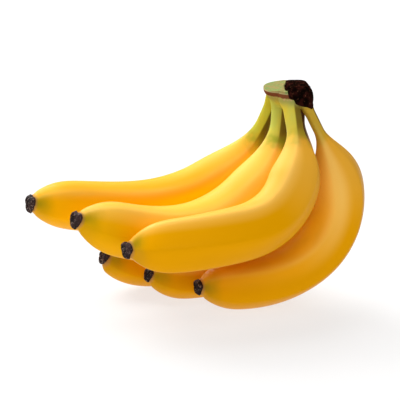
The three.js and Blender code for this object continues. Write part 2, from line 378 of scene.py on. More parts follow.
# %% Shape the skin
AROUND = 120
BELLY_EASE, SKIN_TRIM = 1.0, 0.988
TIP_CALM, TIP_RELIEF = 36, 0.7
# Turns along the fruit, lobes round it, and size as a share of the radius.
WAVES = ((0.9, 1, 0.010), (1.7, 2, 0.008), (2.6, 1, 0.006), (4.1, 3, 0.004))


def slow_waves(seed, share, angle):
    """Uneven growth: a share of the radius to add."""
    phases = np.random.default_rng(seed).uniform(0, 2 * np.pi, (len(WAVES), 2))
    return sum(size * np.sin(2 * np.pi * turns * share + a) * np.sin(lobes * angle + b)
               for (turns, lobes, size), (a, b) in zip(WAVES, phases))


def skin_points(banana, distance, radius, seed):
    """Rings of skin points, with the angle of each point from the outer side."""
    angle = np.arange(AROUND) * 360 / AROUND
    share = distance / banana["length"]
    turned = np.radians(angle[None, :] + ridge_turn(banana, distance)[:, None])
    calm = mix(TIP_RELIEF, 1, smooth_step((banana["length"] - distance) / TIP_CALM))[:, None]
    ridges = 1 + (ridge_profile(angle)[None, :] - 1) * calm
    reach = ridges + slow_waves(seed, share[:, None], np.radians(angle)[None, :])
    return ring_points(banana, distance, turned, SKIN_TRIM * radius[:, None] * reach), angle


def rest_on_table(points):
    """Eases whatever would sink into the table up to its surface."""
    height = points[..., 2]
    eased = (np.clip(height, -BELLY_EASE, None) + BELLY_EASE) ** 2 / (4 * BELLY_EASE)
    points[..., 2] = np.where(height > BELLY_EASE, height, eased)


print("waves of up to", round(sum(size for _, _, size in WAVES) * 100, 1), "% of the radius")

# %% [markdown]
# ## Notes for the peel's paint
#
# The peel changes along the fruit, across a ridge, and from the inner face to the
# outer, so its points note all of that. Their flow is the place on the fruit if
# it were straight, which lets noise run along it, differently on each banana.

# %% Note the place on the skin
FRONT_FACING, FRONT_SPAN = 258, 34
FLOW_APART = 400


def skin_notes(place, banana, distance, radius, angle, seed):
    shape = (len(distance), len(angle))
    past_root, turned = distance[:, None], np.radians(angle)[None]
    marks = {
        "past_neck": past_root - banana["neck_length"],
        "to_tip": banana["length"] - past_root,
        "off_ridge": np.sin(np.pi * face_share(angle))[None],
        "inner_side": 0.5 - 0.5 * np.cos(turned),
        "front_side": np.exp(-((angle - FRONT_FACING) / FRONT_SPAN) ** 2)[None],
        "brown_shaded_side": brown_shaded_side(place, angle)[None],
    }
    notes = {name: end_notes(np.broadcast_to(values, shape)) for name, values in marks.items()}
    flow = (past_root + FLOW_APART * seed, radius[:, None] * np.cos(turned),
            radius[:, None] * np.sin(turned))
    notes["flow"] = np.stack([end_notes(np.broadcast_to(part, shape)) for part in flow], -1)
    return notes


print("front side:", FRONT_FACING, "degrees round from the outer side")

# %% [markdown]
# ## Six smooth bananas
#
# Each banana is swept from just inside the crown to the flower end, with a ring
# every millimetre and a half. Closer rings at the end roll the skin over a low
# rim into the scar, which a plain cap would leave as a hard edge.

# %% Sweep the bananas
RING_SPACING, NECK_INSIDE = 1.5, 1.5
SCAR_RIM, ROLL_START = 1.06, 6
# Distance from the end, share of the fruit's own thickness, and size.
TIP_ROLL = (
    (4.4, 1, 1), (3.2, 0.99, 1), (2.2, 0.95, 1), (1.4, 0.85, 1), (0.7, 0.69, 1), (0, 0.5, 1),
    (-0.6, 0.32, 1), (-1.1, 0.15, 1), (-1.4, 0.05, 0.99), (-1.55, 0, 0.96), (-1.55, 0, 0.88),
    (-1.4, 0, 0.75))


def build_banana(place, banana, seed):
    body_end = banana["length"] - ROLL_START
    spans = round((body_end + NECK_INSIDE) / RING_SPACING)
    from_end, full, size = np.array(TIP_ROLL).T
    distance = np.concatenate([np.linspace(-NECK_INSIDE, body_end, spans),
                               banana["length"] - from_end])
    radius = thickness(banana, distance)
    radius[spans:] = mix(banana["scar_radius"] * SCAR_RIM, radius[spans:], full) * size
    rings, angle = skin_points(banana, distance, radius, seed)
    rest_on_table(rings)
    notes = skin_notes(place, banana, distance, radius, angle, seed)
    faces = tube_faces(len(rings), AROUND)
    piece = make_piece(f"peel_{place}", close_tube(rings), faces, notes)
    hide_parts(f"banana_{place}")
    return piece


peels = {place: build_banana(place, banana, seed)
         for seed, (place, banana) in enumerate(BANANAS.items())}
print(sum(len(p.data.vertices) for p in peels.values()), "points of skin")

# %% [markdown]
# ## The dry flower ends
#
# Where the flower was, a short black stub is left, a shrunken ring of dry petals.
# It has three blunt corners, and its end is lumpy, sunken and torn. A tube with
# noise on it gives that at this size, and as the noise is read where the points
# are in the bunch, every stub tears in its own way.

# %% Shape the flower ends
STUB_AROUND, STUB_START = 84, 1.6
# Distance past the start, and size.
STUB_PROFILE = (
    (-0.5, 0.9), (-0.2, 1.01), (0.2, 1.07), (0.7, 1.08), (1.2, 1.05), (1.7, 1.0), (2.2, 0.96),
    (2.7, 0.9), (3.1, 0.82), (3.2, 0.72), (2.9, 0.6), (2.4, 0.48), (2.0, 0.34), (1.9, 0.18))
STUB_CORNERS, STUB_LOBES = 0.15, 0.04
STUB_NOISE = ((0.5, 1), (1.3, 0.7), (2.6, 0.4))
STUB_SMOOTH_END, STUB_EASE = -0.5, 1.2
STUB_LUMPS = 0.112
STUB_TEARS, TEARS_FROM = 0.7, -0.2


def roughness_at(point):
    """Coarse, middling and fine noise at a point."""
    return sum(weight * noise.noise(Vector(point * fineness)) for fineness, weight in STUB_NOISE)


def build_stub(place, banana, seed):
    ahead, size = np.array(STUB_PROFILE).T
    angle = np.arange(STUB_AROUND) * 2 * np.pi / STUB_AROUND
    outline = (1 + STUB_CORNERS * np.cos(3 * angle)
               + STUB_LOBES * np.sin(5 * angle + 2 * seed))
    distance = banana["length"] + STUB_START + ahead
    turned = np.broadcast_to(angle, (len(distance), STUB_AROUND))
    reach = banana["scar_radius"] * size[:, None] * outline[None]
    rings = ring_points(banana, distance, turned, reach)
    rough = np.array([[roughness_at(point) for point in row] for row in rings])
    deep = np.clip((ahead - STUB_SMOOTH_END) / STUB_EASE, 0, 1)[:, None]
    rings = ring_points(banana, distance, turned, reach * (1 + STUB_LUMPS * rough * deep))
    torn = STUB_TEARS * np.clip(rough - TEARS_FROM, 0, 1) * deep
    rings -= heading(banana, distance)[:, None] * torn[..., None]
    faces = tube_faces(len(rings), STUB_AROUND)
    piece = make_piece(f"stub_{place}", close_tube(rings), faces)
    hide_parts(f"flower_end_{place}")
    return piece


stubs = {place: build_stub(place, banana, seed)
         for seed, (place, banana) in enumerate(BANANAS.items())}
print(len(stubs), "dry flower ends")

# %% [markdown]
# ## The crown
#
# All the necks grow together into one pad with a fresh cut on top. The front of
# the pad was cut days earlier and has dried into a dark block, which stands a
# little higher and runs down in a tongue over one neck. Both are stacks of level
# ovals with squared corners; an extruded outline could not lean and swell so.

# %% Stack the crown's ovals
CROWN_AROUND, CROWN_RINGS = 120, 40
# Each layer is a height, a size, and shifts across and back.
PAD = dict(
    middle=(60.37, -4.48), half=(15.4, 19.0), turn=-28, squareness=2.7,
    layers=((138.5, 0.42, 0, -1.5), (141, 0.56, 0, -2.5), (143.5, 0.72, 0, -2.5),
            (146.8, 0.91, 0, -1.4), (148, 0.98, 0, -0.3), (149.4, 1.0, 0, 0), (150.6, 0.99, 0, 0)))
DRIED = dict(
    middle=(62.97, -17.38), half=(9.5, 17.5), turn=-28, squareness=3.6,
    layers=((139.6, 0.34, 5.2, -9), (142, 0.52, 4.2, -8), (144.5, 0.78, 1.9, -4),
            (147.5, 0.97, 0.3, 0), (150.5, 0.95, -0.1, 0), (153, 0.86, -1.0, 0.4),
            (155, 0.77, -1.7, 1)))
DRIED_TOP = DRIED["layers"][-1][0]


def layer_at(part, heights):
    """Size and shifts of a part's oval at each height."""
    levels, *columns = np.array(part["layers"]).T
    return [np.interp(heights, levels, column) for column in columns]


def turn_of(part):
    angle = math.radians(part["turn"])
    return math.cos(angle), math.sin(angle)


def oval_rings(part):
    """The part's level ovals, clockwise seen from above."""
    heights = np.linspace(part["layers"][0][0], part["layers"][-1][0], CROWN_RINGS)
    size, across, back = (values[:, None] for values in layer_at(part, heights))
    angle = -np.arange(CROWN_AROUND) * 2 * np.pi / CROWN_AROUND
    cosine, sine = np.cos(angle), np.sin(angle)
    power = 2 / part["squareness"]
    x = part["half"][0] * size * np.sign(cosine) * np.abs(cosine) ** power + across
    y = part["half"][1] * size * np.sign(sine) * np.abs(sine) ** power + back
    cos, sin = turn_of(part)
    level = np.broadcast_to(heights[:, None], x.shape)
    middle = part["middle"]
    return np.stack([middle[0] + x * cos - y * sin, middle[1] + x * sin + y * cos, level], -1)


def reach_in_oval(part, points):
    """0 in the middle of a part's oval at the point's height, and 1 on its edge."""
    size, across, back = layer_at(part, points[:, 2])
    cos, sin = turn_of(part)
    off = points[:, :2] - part["middle"]
    x = (off[:, 0] * cos + off[:, 1] * sin - across) / (part["half"][0] * size)
    y = (-off[:, 0] * sin + off[:, 1] * cos - back) / (part["half"][1] * size)
    squareness = part["squareness"]
    return (np.abs(x) ** squareness + np.abs(y) ** squareness) ** (1 / squareness)


print("pad and dried end:", CROWN_RINGS, "ovals each")

# %% [markdown]
# ## Webs between the necks
#
# Skin webs the corners between the necks. Webs are hard to loft and easy to melt:
# the pad, the dried block and six flared neck sleeves are laid over each other
# and remeshed into one skin of small even faces. A Boolean would join them too,
# but it keeps every hard corner and leaves long thin faces.

# %% Melt the crown together
SLEEVE_END, SLEEVE_INSIDE, SLEEVE_RINGS = 12.0, 5.0, 20
SLEEVE_WIDTH, SLEEVE_FLARE = 0.96, 0.30
CROWN_VOXEL = 0.5 * MM


def sleeve_rings(banana):
    """A neck's skin inside the crown, wider the deeper it goes."""
    distance = np.linspace(-SLEEVE_INSIDE, SLEEVE_END, SLEEVE_RINGS)
    left = np.clip(1 - distance / SLEEVE_END, 0, 1)
    radius = banana["neck_radius"] * (SLEEVE_WIDTH + SLEEVE_FLARE * left ** 2)
    return skin_points(banana, distance, radius, 0)[0]


def melt_together(name, tubes):
    """Joins tubes into one mesh of small even faces."""
    mesh = bpy.data.meshes.new(name)
    points, faces = [], []
    for rings in tubes:
        base = sum(len(p) for p in points)
        points.append(close_tube(rings))
        faces += [tuple(base + k for k in face) for face in tube_faces(*rings.shape[:2])]
    mesh.from_pydata((np.vstack(points) * MM).tolist(), [], faces)
    blank = add_object(name, mesh)
    remesh = blank.modifiers.new("even_faces", "REMESH")
    remesh.mode, remesh.voxel_size = "VOXEL", CROWN_VOXEL
    shown = blank.evaluated_get(bpy.context.evaluated_depsgraph_get())
    melted = bpy.data.meshes.new_from_object(shown)
    bpy.data.objects.remove(blank)
    return melted


melted = melt_together("crown_blank", [oval_rings(PAD), oval_rings(DRIED)]
                       + [sleeve_rings(b) for b in BANANAS.values()])
print("melted crown:", len(melted.vertices), "points")

# %% [markdown]
# ## Smoothing the webs
#
# Melting leaves small steps, one voxel high, and corners too sharp for skin. They
# go when each point moves towards the average of its neighbours again and again.
# A Smooth modifier does this everywhere alike; here it is strong low down, where
# the webs are, and weak at the cut and on the dried end, which stay sharp.

# %% Smooth the webs
WEB_ROUNDS, SMOOTH_PULL = 14, 0.5
WEB_TOP, WEB_FADE, TOP_SOFTNESS = 149.4, 3, 0.06
DRIED_REACH, DRIED_FADE, DRIED_SOFTNESS = 0.9, 0.2, 0.12


def smooth_points(mesh, weight, rounds):
    """Moves each point towards the average of its neighbours."""
    count = len(mesh.vertices)
    points = np.empty(count * 3)
    mesh.vertices.foreach_get("co", points)
    points = points.reshape(-1, 3) / MM
    edges = np.empty(len(mesh.edges) * 2, dtype=int)
    mesh.edges.foreach_get("vertices", edges)
    a, b = edges.reshape(-1, 2).T
    joined = np.bincount(a, minlength=count) + np.bincount(b, minlength=count)
    for _ in range(rounds):
        total = np.stack([np.bincount(a, points[b, k], count) + np.bincount(b, points[a, k], count)
                          for k in range(3)], -1)
        pull = SMOOTH_PULL * weight(points)[:, None]
        points += pull * (total / joined[:, None] - points)
    return points


def web_softness(points):
    """How strongly each point of the crown is smoothed."""
    below_cut = np.clip((WEB_TOP - points[:, 2]) / WEB_FADE, TOP_SOFTNESS, 1)
    off_dried = (reach_in_oval(DRIED, points) - DRIED_REACH) / DRIED_FADE
    return below_cut * np.clip(off_dried, DRIED_SOFTNESS, 1)


crown_points = smooth_points(melted, web_softness, WEB_ROUNDS)
print("crown smoothed in", WEB_ROUNDS, "rounds")

# %% [markdown]
# ## Folds and the cut
#
# As it dries the end of the crown shrinks into hard folds. They come from a ridged
# noise, which has sharp crests where plain noise has lumps, and which moves the
# points themselves, because a bump would leave the outline smooth. Last, the
# fresh part is sliced to its cut, which slopes a little up to the dried end.

# %% Fold the dried end and slice the cut
DRIED_ALONG = (0.883, -0.469)
# The lowest height that has dried, at distances along the dried end.
DRIED_LOW_EDGE = (
    (-10, 150.2), (-8.8, 148.9), (-7.8, 147.4), (-4.3, 146.8), (-2.9, 144), (1.2, 142.4),
    (5.2, 141.8), (10, 139))
DRIED_EDGE, LOW_EDGE_HALF = 0.12, 0.6
FOLD_DEPTH, FOLD_STRETCH = 1.6, (0.25, 0.25, 0.11)
FOLD_NOISE = (0.9, 2.1, 4, 1.0, 2.0)
FOLD_RANGE, FOLD_LEVEL = 2.2, 0.55
FOLD_WAY = (1, 1, 0.4)
TOP_CALM, TOP_RELIEF = 5, 0.2
CUT_HEIGHT, CUT_START, CUT_EASE = 150.6, 148.4, 2
CUT_SLOPE, CUT_LOW_END, CUT_RISE = 0.11, -22, 13


def dried_share(points, along):
    """1 on the dried end, 0 on fresh skin, and a narrow change between."""
    inside = 1 - smooth_step((reach_in_oval(DRIED, points) - 1.0) / DRIED_EDGE)
    above = points[:, 2] - np.interp(along, *np.array(DRIED_LOW_EDGE).T)
    return inside * smooth_step((above + LOW_EDGE_HALF) / (2 * LOW_EDGE_HALF))


def point_normals(mesh, points):
    mesh.vertices.foreach_set("co", (points * MM).ravel())
    mesh.update()
    normals = np.empty(len(mesh.vertices) * 3)
    mesh.vertices.foreach_get("normal", normals)
    return normals.reshape(-1, 3)


def fold(mesh, points, dried):
    """The points, pulled into folds where dried, and how high each is on a fold."""
    normals = point_normals(mesh, points)
    folds = np.array([noise.ridged_multi_fractal(Vector(point * FOLD_STRETCH), *FOLD_NOISE)
                      for point in points])
    below_top = np.clip((DRIED_TOP + 1 - points[:, 2]) / TOP_CALM, TOP_RELIEF, 1)
    depth = dried * FOLD_DEPTH * below_top
    inwards = depth * (FOLD_LEVEL - np.clip(folds / FOLD_RANGE, 0, 2 * FOLD_LEVEL))
    return points - normals * inwards[:, None] * FOLD_WAY, folds


def slice_cut(points, along, fresh):
    """The points with the fresh ones brought down to the cut."""
    height = points[:, 2].copy()
    height[fresh] = np.minimum(height[fresh], CUT_HEIGHT)
    slope = CUT_SLOPE * np.clip(along - CUT_LOW_END, 0, CUT_RISE)
    lift = slope * smooth_step((height - CUT_START) / CUT_EASE)
    height[fresh] += lift[fresh]
    return np.column_stack([points[:, :2], np.minimum(height, DRIED_TOP)])


along = (crown_points[:, :2] - DRIED["middle"]) @ DRIED_ALONG
dried = dried_share(crown_points, along)
crown_points, folds = fold(melted, crown_points, dried)
crown_points = slice_cut(crown_points, along, dried < 0.5)
print("dried share of the crown:", round(float(dried.mean()), 2))

# %% [markdown]
# ## The crown's skin
#
# The crown is one mesh now, but each neck keeps its colour where it comes in. The
# points note the colours of the neck that is nearest, with a soft change halfway
# between two. Masks by height or direction would cut through the necks.

# %% Make the crown
OWNER_STEPS, OWNER_SHARPNESS = 24, 6


def nearest_necks(points):
    """How much each neck owns each point, and how brown and painted shaded the point is."""
    closeness, brown = [], []
    for place, banana in BANANAS.items():
        distance = np.linspace(-SLEEVE_INSIDE, SLEEVE_END, OWNER_STEPS)
        centre, (outer, side) = middle_line(banana, distance), ring_axes(banana, distance)
        nearest = np.linalg.norm(points[:, None] - centre[None], axis=-1).argmin(1)
        off = points - centre[nearest]
        closeness.append(np.linalg.norm(off, axis=1) / banana["neck_radius"])
        sideways, outwards = (off * side[nearest]).sum(1), (off * outer[nearest]).sum(1)
        turned = np.degrees(np.arctan2(sideways, outwards))
        brown.append(brown_shaded_side(place, turned - ridge_turn(banana, distance)[nearest]))
    closeness = np.array(closeness)
    owned = np.exp(-OWNER_SHARPNESS * (closeness - closeness.min(0)))
    owned /= owned.sum(0)
    return owned, (owned * np.array(brown)).sum(0)


def build_crown():
    owned, brown = nearest_necks(crown_points)
    dull, fresh = (owned.T @ np.array([NECK_LOOKS[place][k] for place in BANANAS])
                   for k in range(2))
    notes = {"dried": dried, "folds": folds, "brown_shaded_side": brown,
             "neck_dull": dull, "neck_fresh": fresh}
    faces = [tuple(face.vertices) for face in melted.polygons]
    piece = make_piece("crown_skin", crown_points, faces, notes)
    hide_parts("crown")
    return piece


crown_skin = build_crown()
print("crown:", len(crown_skin.data.vertices), "points")

# %% [markdown]
# ## Writing a material as arithmetic
#
# Node trees are easier to read as expressions than as a web of boxes. A wire is
# the output of some node, and adding or multiplying wires adds a Math node. A
# slope between two limits turns any value into a mask, and a mask mixes colours.

# %% Write the wire
class Wire:
    """A value, colour or vector on its way through a node tree."""

    def __init__(self, paint, socket):
        self.paint = paint
        self.socket = socket

    def math(self, operation, *values):
        return self.paint.node("Math", {"operation": operation}, dict(enumerate(values)))

    def __add__(self, other):
        return self.math("ADD", self, other)

    def __sub__(self, other):
        return self.math("SUBTRACT", self, other)

    def __rsub__(self, other):
        return self.math("SUBTRACT", other, self)

    def __mul__(self, other):
        return self.math("MULTIPLY", self, other)

    __radd__ = __add__
    __rmul__ = __mul__

    def rising(self, low, high):
        """0 below low, 1 above high, and a slope eased at both ends between."""
        return self.paint.node("MapRange", {"interpolation_type": "SMOOTHSTEP"},
                               {0: self, 1: low, 2: high})

    def falling(self, low, high):
        return 1 - self.rising(low, high)

    def colour(self, low, high):
        """One colour where this value is 0, turning to the other where it is 1."""
        return self.paint.node("Mix", {"data_type": "RGBA"}, {0: self, 6: low, 7: high}, 2)


print("wire ready")

# %% [markdown]
# ## The paint box
#
# A paint holds one node tree. Every node comes from one method, which sets it up
# first and then joins its inputs. Noise is used most: raw it is a soft cloud, and
# between two limits it is patches.

# %% Write the paint box
class Paint:
    """A node tree with one way to add a node."""

    def __init__(self, tree):
        self.tree = tree
        tree.nodes.clear()

    def node(self, kind, settings=None, inputs=None, output=0):
        made = self.tree.nodes.new("ShaderNode" + kind)
        for setting, value in (settings or {}).items():
            setattr(made, setting, value)
        for name, value in (inputs or {}).items():
            socket = made.inputs[name]
            if isinstance(value, Wire):
                self.tree.links.new(value.socket, socket)
            else:
                socket.default_value = (*value, 1) if socket.type == "RGBA" else value
        return Wire(self, made.outputs[output]) if made.outputs else None

    def note(self, name, output=2):
        """Numbers kept on the mesh: output 2 is a value, 1 a vector, 0 a colour."""
        return self.node("Attribute", {"attribute_name": name}, output=output)

    def place(self):
        """Position on the bunch, in millimetres."""
        metres = self.node("TexCoord", output=3)
        return self.node("VectorMath", {"operation": "SCALE"}, {0: metres, 3: 1 / MM})

    def stretched(self, vector, by):
        return self.node("VectorMath", {"operation": "MULTIPLY"}, {0: vector, 1: by})

    def clouds(self, vector, scale, detail=3.0, roughness=0.5):
        """Soft noise between 0 and 1, with blobs about 1 / scale across."""
        return self.node("TexNoise", {}, {"Vector": vector, "Scale": scale, "Detail": detail,
                                          "Roughness": roughness})

    def bump(self, height, distance, strength):
        return self.node("Bump", {}, {"Strength": strength, "Distance": distance,
                                      "Height": height})


def painted(name, **sockets):
    """A new material's Paint, and a function that joins up its surface."""
    material = bpy.data.materials.new(name)
    material.use_nodes = True
    paint = Paint(material.node_tree)

    def finish(**wires):
        surface = paint.node("BsdfPrincipled", {}, {**sockets, **wires})
        paint.node("OutputMaterial", {}, {"Surface": surface})
        return material

    return paint, finish


print("paint box ready")

# %% [markdown]
# ## The colours of ripe peel
#
# A ripe peel isn't one yellow, and light is painted into it. Painted highlights
# make the crests of the ridges and the inner face paler, the inner face partly by
# its own paler skin; painted shade makes the sides deeper and more golden; and
# painted bounce light turns the valley between two bananas lemon. One table says
# how much of each a banana has, and how green its shoulder still is: shares are
# easier to correct than a colour ramp for each.

# %% Choose the peel's colours
# Painted shade: the deeper gold of the sides turned from the light.
SIDE_SHADE_YELLOW = tint(228, 158, 0)
# Painted bounce light: the lemon of the valley facing a neighbour.
LEMON_BOUNCE_LIGHT = tint(255, 206, 0)
# Painted highlight: the pale yellow of crests, inner face, flank and shoulder.
HIGHLIGHT_YELLOW = tint(254, 206, 108)
# Brown of the necks' far faces: partly their own colour, partly painted shade.
NECK_BROWN_SHADE = tint(112, 84, 22)
JOIN_GREEN = tint(120, 148, 30)
# Olive of the flower end: partly its own colour, partly painted shade on the front face.
TIP_OLIVE_AND_SHADE = tint(168, 138, 14)
TIP_TAN = tint(176, 124, 78)
STREAK_BROWN = tint(196, 136, 20)
PLAIN_PEEL = dict(
    ripe=tint(241, 165, 0), side_shade=0.6, inner_pale_and_lit=0.34, crest_highlight=0.3, flank_highlight=0,
    valley_bounce_light=0, inner_edge=0.66, green=0, join_higher=0)
PEELS = {
    "top_back": dict(
        ripe=tint(254, 178, 0), side_shade=0.15, inner_pale_and_lit=0.1, valley_bounce_light=0.9, green=0.6,
        join_higher=2),
    "top_middle": dict(
        ripe=tint(254, 184, 0), side_shade=0.35, valley_bounce_light=0.9, inner_edge=0.5, green=0.65),
    "top_front": dict(ripe=tint(244, 169, 0), inner_edge=0.6, green=0.4, join_higher=8),
    # This banana carries a painted highlight band along its flank.
    "under_front": dict(
        inner_pale_and_lit=0.05, crest_highlight=0.2, flank_highlight=0.9, inner_edge=0.45, green=0.2,
        join_higher=14),
}
print("peels with colours of their own:", ", ".join(PEELS))

# %% [markdown]
# ## The yellow of the fruit and its painted light
#
# Each layer of colour is laid over the one before, as a painter glazes. Its mask
# comes from the notes on the skin, from noise, or from both multiplied. Noise
# read from the flow is stretched, into long patches or into fine streaks.

# %% Mix the yellow
SLOW_STRETCH, STREAK_STRETCH = (0.35, 1, 1), (0.12, 1, 1)
INNER_END, SIDE_EDGE = 0.82, 0.66
RIPE_DEEP, CREST_WIDTH = 0.90, 0.6
# Where colours fade out, in millimetres past the neck.
BOUNCE_FADE, FLANK_FADE, SHOULDER_FADE = (70, 130), (40, 120), (26, 72)
# Strength of the painted shoulder highlight, and of the brown streaks.
SHOULDER_HIGHLIGHT, STREAK_SHARE = 0.24, 0.16


def yellow_and_painted_light(paint, look, flow, past_neck):
    slow = paint.clouds(paint.stretched(flow, SLOW_STRETCH), 0.045, 2).rising(0.3, 0.7)
    body = slow.colour([RIPE_DEEP * part for part in look["ripe"]], look["ripe"])
    inward, front = paint.note("inner_side"), paint.note("front_side")
    inner_face = inward.rising(look["inner_edge"], INNER_END)
    # Painted shade deepens the sides outside the inner face.
    body = ((1 - inner_face) * look["side_shade"]).colour(body, SIDE_SHADE_YELLOW)
    # Painted bounce light turns the valley between two bananas lemon.
    valley = front * inward.falling(SIDE_EDGE, INNER_END) * past_neck.falling(*BOUNCE_FADE)
    body = (valley * look["valley_bounce_light"]).colour(body, LEMON_BOUNCE_LIGHT)
    long_flow = paint.stretched(flow, STREAK_STRETCH)
    broken = paint.clouds(long_flow, 0.2, 2).rising(0.3, 0.7) * 0.5 + 0.5
    # Painted highlights on the ridge crests and the inner face; the inner face is partly its own
    # paler skin.
    crest = paint.note("off_ridge").falling(0.0, CREST_WIDTH) * broken
    pale = (crest * look["crest_highlight"] + look["inner_pale_and_lit"]) * inner_face
    body = pale.colour(body, HIGHLIGHT_YELLOW)
    # Painted highlight band on the front flank.
    flank = front * inner_face * past_neck.falling(*FLANK_FADE) * look["flank_highlight"]
    body = flank.colour(body, HIGHLIGHT_YELLOW)
    # Painted highlight on the shoulder.
    body = (past_neck.falling(*SHOULDER_FADE) * SHOULDER_HIGHLIGHT).colour(body, HIGHLIGHT_YELLOW)
    streaks = paint.clouds(long_flow, 0.9, 4, 0.6).rising(0.64, 0.82)
    return (streaks * STREAK_SHARE).colour(body, STREAK_BROWN)


print("yellow ready")

# %% [markdown]
# ## Green neck, olive tip
#
# A banana ripens last at its ends: green at the shoulder, dull along the neck,
# and at the flower end an olive smudge, deepened on the front face by painted
# shade, and a thin tan rim round the scar.
# Ripening doesn't keep to a line, so a wandering value is added to the distance
# before it is cut into masks.

# %% Paint the ends of the fruit
EDGE_WANDER = 14
NECK_EDGE = (4, 24)
JOIN_RISE, JOIN_FALL = (6, 13), (13, 24)
TIP_REACH, TIP_WANDER = (0, 15), 0.4
OLIVE_EVERYWHERE, OLIVE_SHADE_IN_FRONT = 0.2, 0.75
RIM_REACH, RIM_WANDER, RIM_SHARE = (-1.4, 0.8), 0.1, 0.7
NECK_STRETCH, BROWN_SHADE_SHARE = (1, 1, 0.35), 0.85


def neck_colour(paint, place, dull, fresh):
    """The skin of the necks and of the webs between them, brown and painted shaded on one side."""
    patches = paint.clouds(paint.stretched(place, NECK_STRETCH), 0.11).rising(0.36, 0.64)
    skin = patches.colour(dull, fresh)
    # Past the ridge the neck darkens: partly its own brown, partly painted shade.
    return (paint.note("brown_shaded_side") * BROWN_SHADE_SHARE).colour(skin, NECK_BROWN_SHADE)


def paint_neck(paint, body, neck_skin, flow, past_join, green_share):
    """The fruit's colour with its neck and green shoulder on it, and the neck's mask."""
    neck = past_join.falling(*NECK_EDGE)
    skin = neck.colour(body, neck_skin)
    join = past_join.rising(*JOIN_RISE) * past_join.falling(*JOIN_FALL)
    green = join * paint.clouds(flow, 0.08, 2).rising(0.2, 0.6) * green_share
    return green.colour(skin, JOIN_GREEN), neck


def paint_tip(paint, skin, to_tip, wander):
    # The olive is the fruit's own near the tip, and stronger on the front face as painted shade.
    olive = paint.note("front_side") * OLIVE_SHADE_IN_FRONT + OLIVE_EVERYWHERE
    smudge = (to_tip + wander * TIP_WANDER).falling(*TIP_REACH) * olive
    skin = smudge.colour(skin, TIP_OLIVE_AND_SHADE)
    rim = (to_tip + wander * RIM_WANDER).falling(*RIM_REACH)
    return (rim * RIM_SHARE).colour(skin, TIP_TAN)


print("ends ready")

# %% [markdown]
# ## Wax and pores
#
# A thin wax spreads the light instead of mirroring it, so highlights are broad,
# weak and faintly yellow. Long grain and small pores go into a shallow bump, and
# slower noise varies the gloss, as one even gloss would look like plastic.

# %% Paint the peel
WAX = {"Specular IOR Level": 0.03, "Specular Tint": (1, 0.85, 0.5)}
PEEL_ROUGHNESS, NECK_ROUGHER = 0.30, 0.12
GRAIN_SHARE, PORE_SHARE = 0.6, 0.4
PEEL_GRAIN, GRAIN_STRENGTH = 0.12 * MM, 0.35


def make_peel(place_name):
    paint, finish = painted(f"ripe_peel_{place_name}", **WAX)
    look = {**PLAIN_PEEL, **PEELS.get(place_name, {})}
    place, flow = paint.place(), paint.note("flow", 1)
    past_neck, to_tip = paint.note("past_neck"), paint.note("to_tip")
    wander = (paint.clouds(flow, 0.09) - 0.5) * EDGE_WANDER
    neck_skin = neck_colour(paint, place, *NECK_LOOKS[place_name][:2])
    skin = yellow_and_painted_light(paint, look, flow, past_neck)
    past_join = past_neck + wander + look["join_higher"]
    skin, neck = paint_neck(paint, skin, neck_skin, flow, past_join, look["green"])
    skin = paint_tip(paint, skin, to_tip, wander)
    gloss = paint.clouds(flow, 0.25) * 0.10 + PEEL_ROUGHNESS + neck * NECK_ROUGHER
    grain = paint.clouds(paint.stretched(flow, STREAK_STRETCH), 2.2, 4, 0.6)
    pores = paint.clouds(flow, 3.2, 2)
    normal = paint.bump(grain * GRAIN_SHARE + pores * PORE_SHARE, PEEL_GRAIN, GRAIN_STRENGTH)
    return finish(**{"Base Color": skin, "Roughness": gloss, "Normal": normal})


for place_name, piece in peels.items():
    piece.data.materials.append(make_peel(place_name))
print("peel painted")

# %% [markdown]
# ## The fresh cut and the webs
#
# The fresh cut is a dull tan-green, with mint blotches where the sap vessels run,
# pale and green specks, and a thin tan edge where it has begun to dry. Under it
# runs a brown rim with pink spots, its brown partly the skin's own and partly
# painted shade under the overhanging edge of the cut, and below that the webs fade
# from green to the necks' colours. They lie in level bands, so height tells them
# apart, with noise added wherever an edge isn't crisp.

# %% Choose the crown's colours
CUT_TAN = tint(152, 140, 86)
CUT_MINT = tint(124, 150, 86)
CUT_EDGE = tint(172, 158, 110)
CUT_SPECK = tint(96, 104, 62)
# Brown rim: partly its own brown, partly painted shade under the cut's edge.
RIM_BROWN_AND_SHADE = tint(116, 68, 42)
RIM_PINK = tint(204, 158, 118)
WEB_GREEN = tint(144, 146, 86)
DRIED_BLACK = tint(13, 6, 4)
DRIED_MAROON = tint(44, 17, 13)
DRIED_TAN = tint(150, 98, 68)
# Heights where one band of colour gives way to the next.
WEB_BAND, SPOT_BAND, RIM_BAND = (140.5, 146), (145, 147.4), (146.9, 147.7)
EDGE_BAND, CUT_BAND = (149.7, 150.2), (150.35, 150.55)
DOT_SHARE, SPECK_SHARE, WEB_SHARE, SPOT_SHARE = 0.6, 0.5, 0.8, 0.8


def cut_colour(paint, place):
    cut = paint.clouds(place, 0.28).rising(0.42, 0.62).colour(CUT_TAN, CUT_MINT)
    dots = paint.clouds(place, 0.9, 3, 0.6).rising(0.54, 0.66)
    cut = (dots * DOT_SHARE).colour(cut, CUT_EDGE)
    specks = paint.clouds(place, 1.1, 3, 0.6).falling(0.36, 0.44)
    return (specks * SPECK_SHARE).colour(cut, CUT_SPECK)


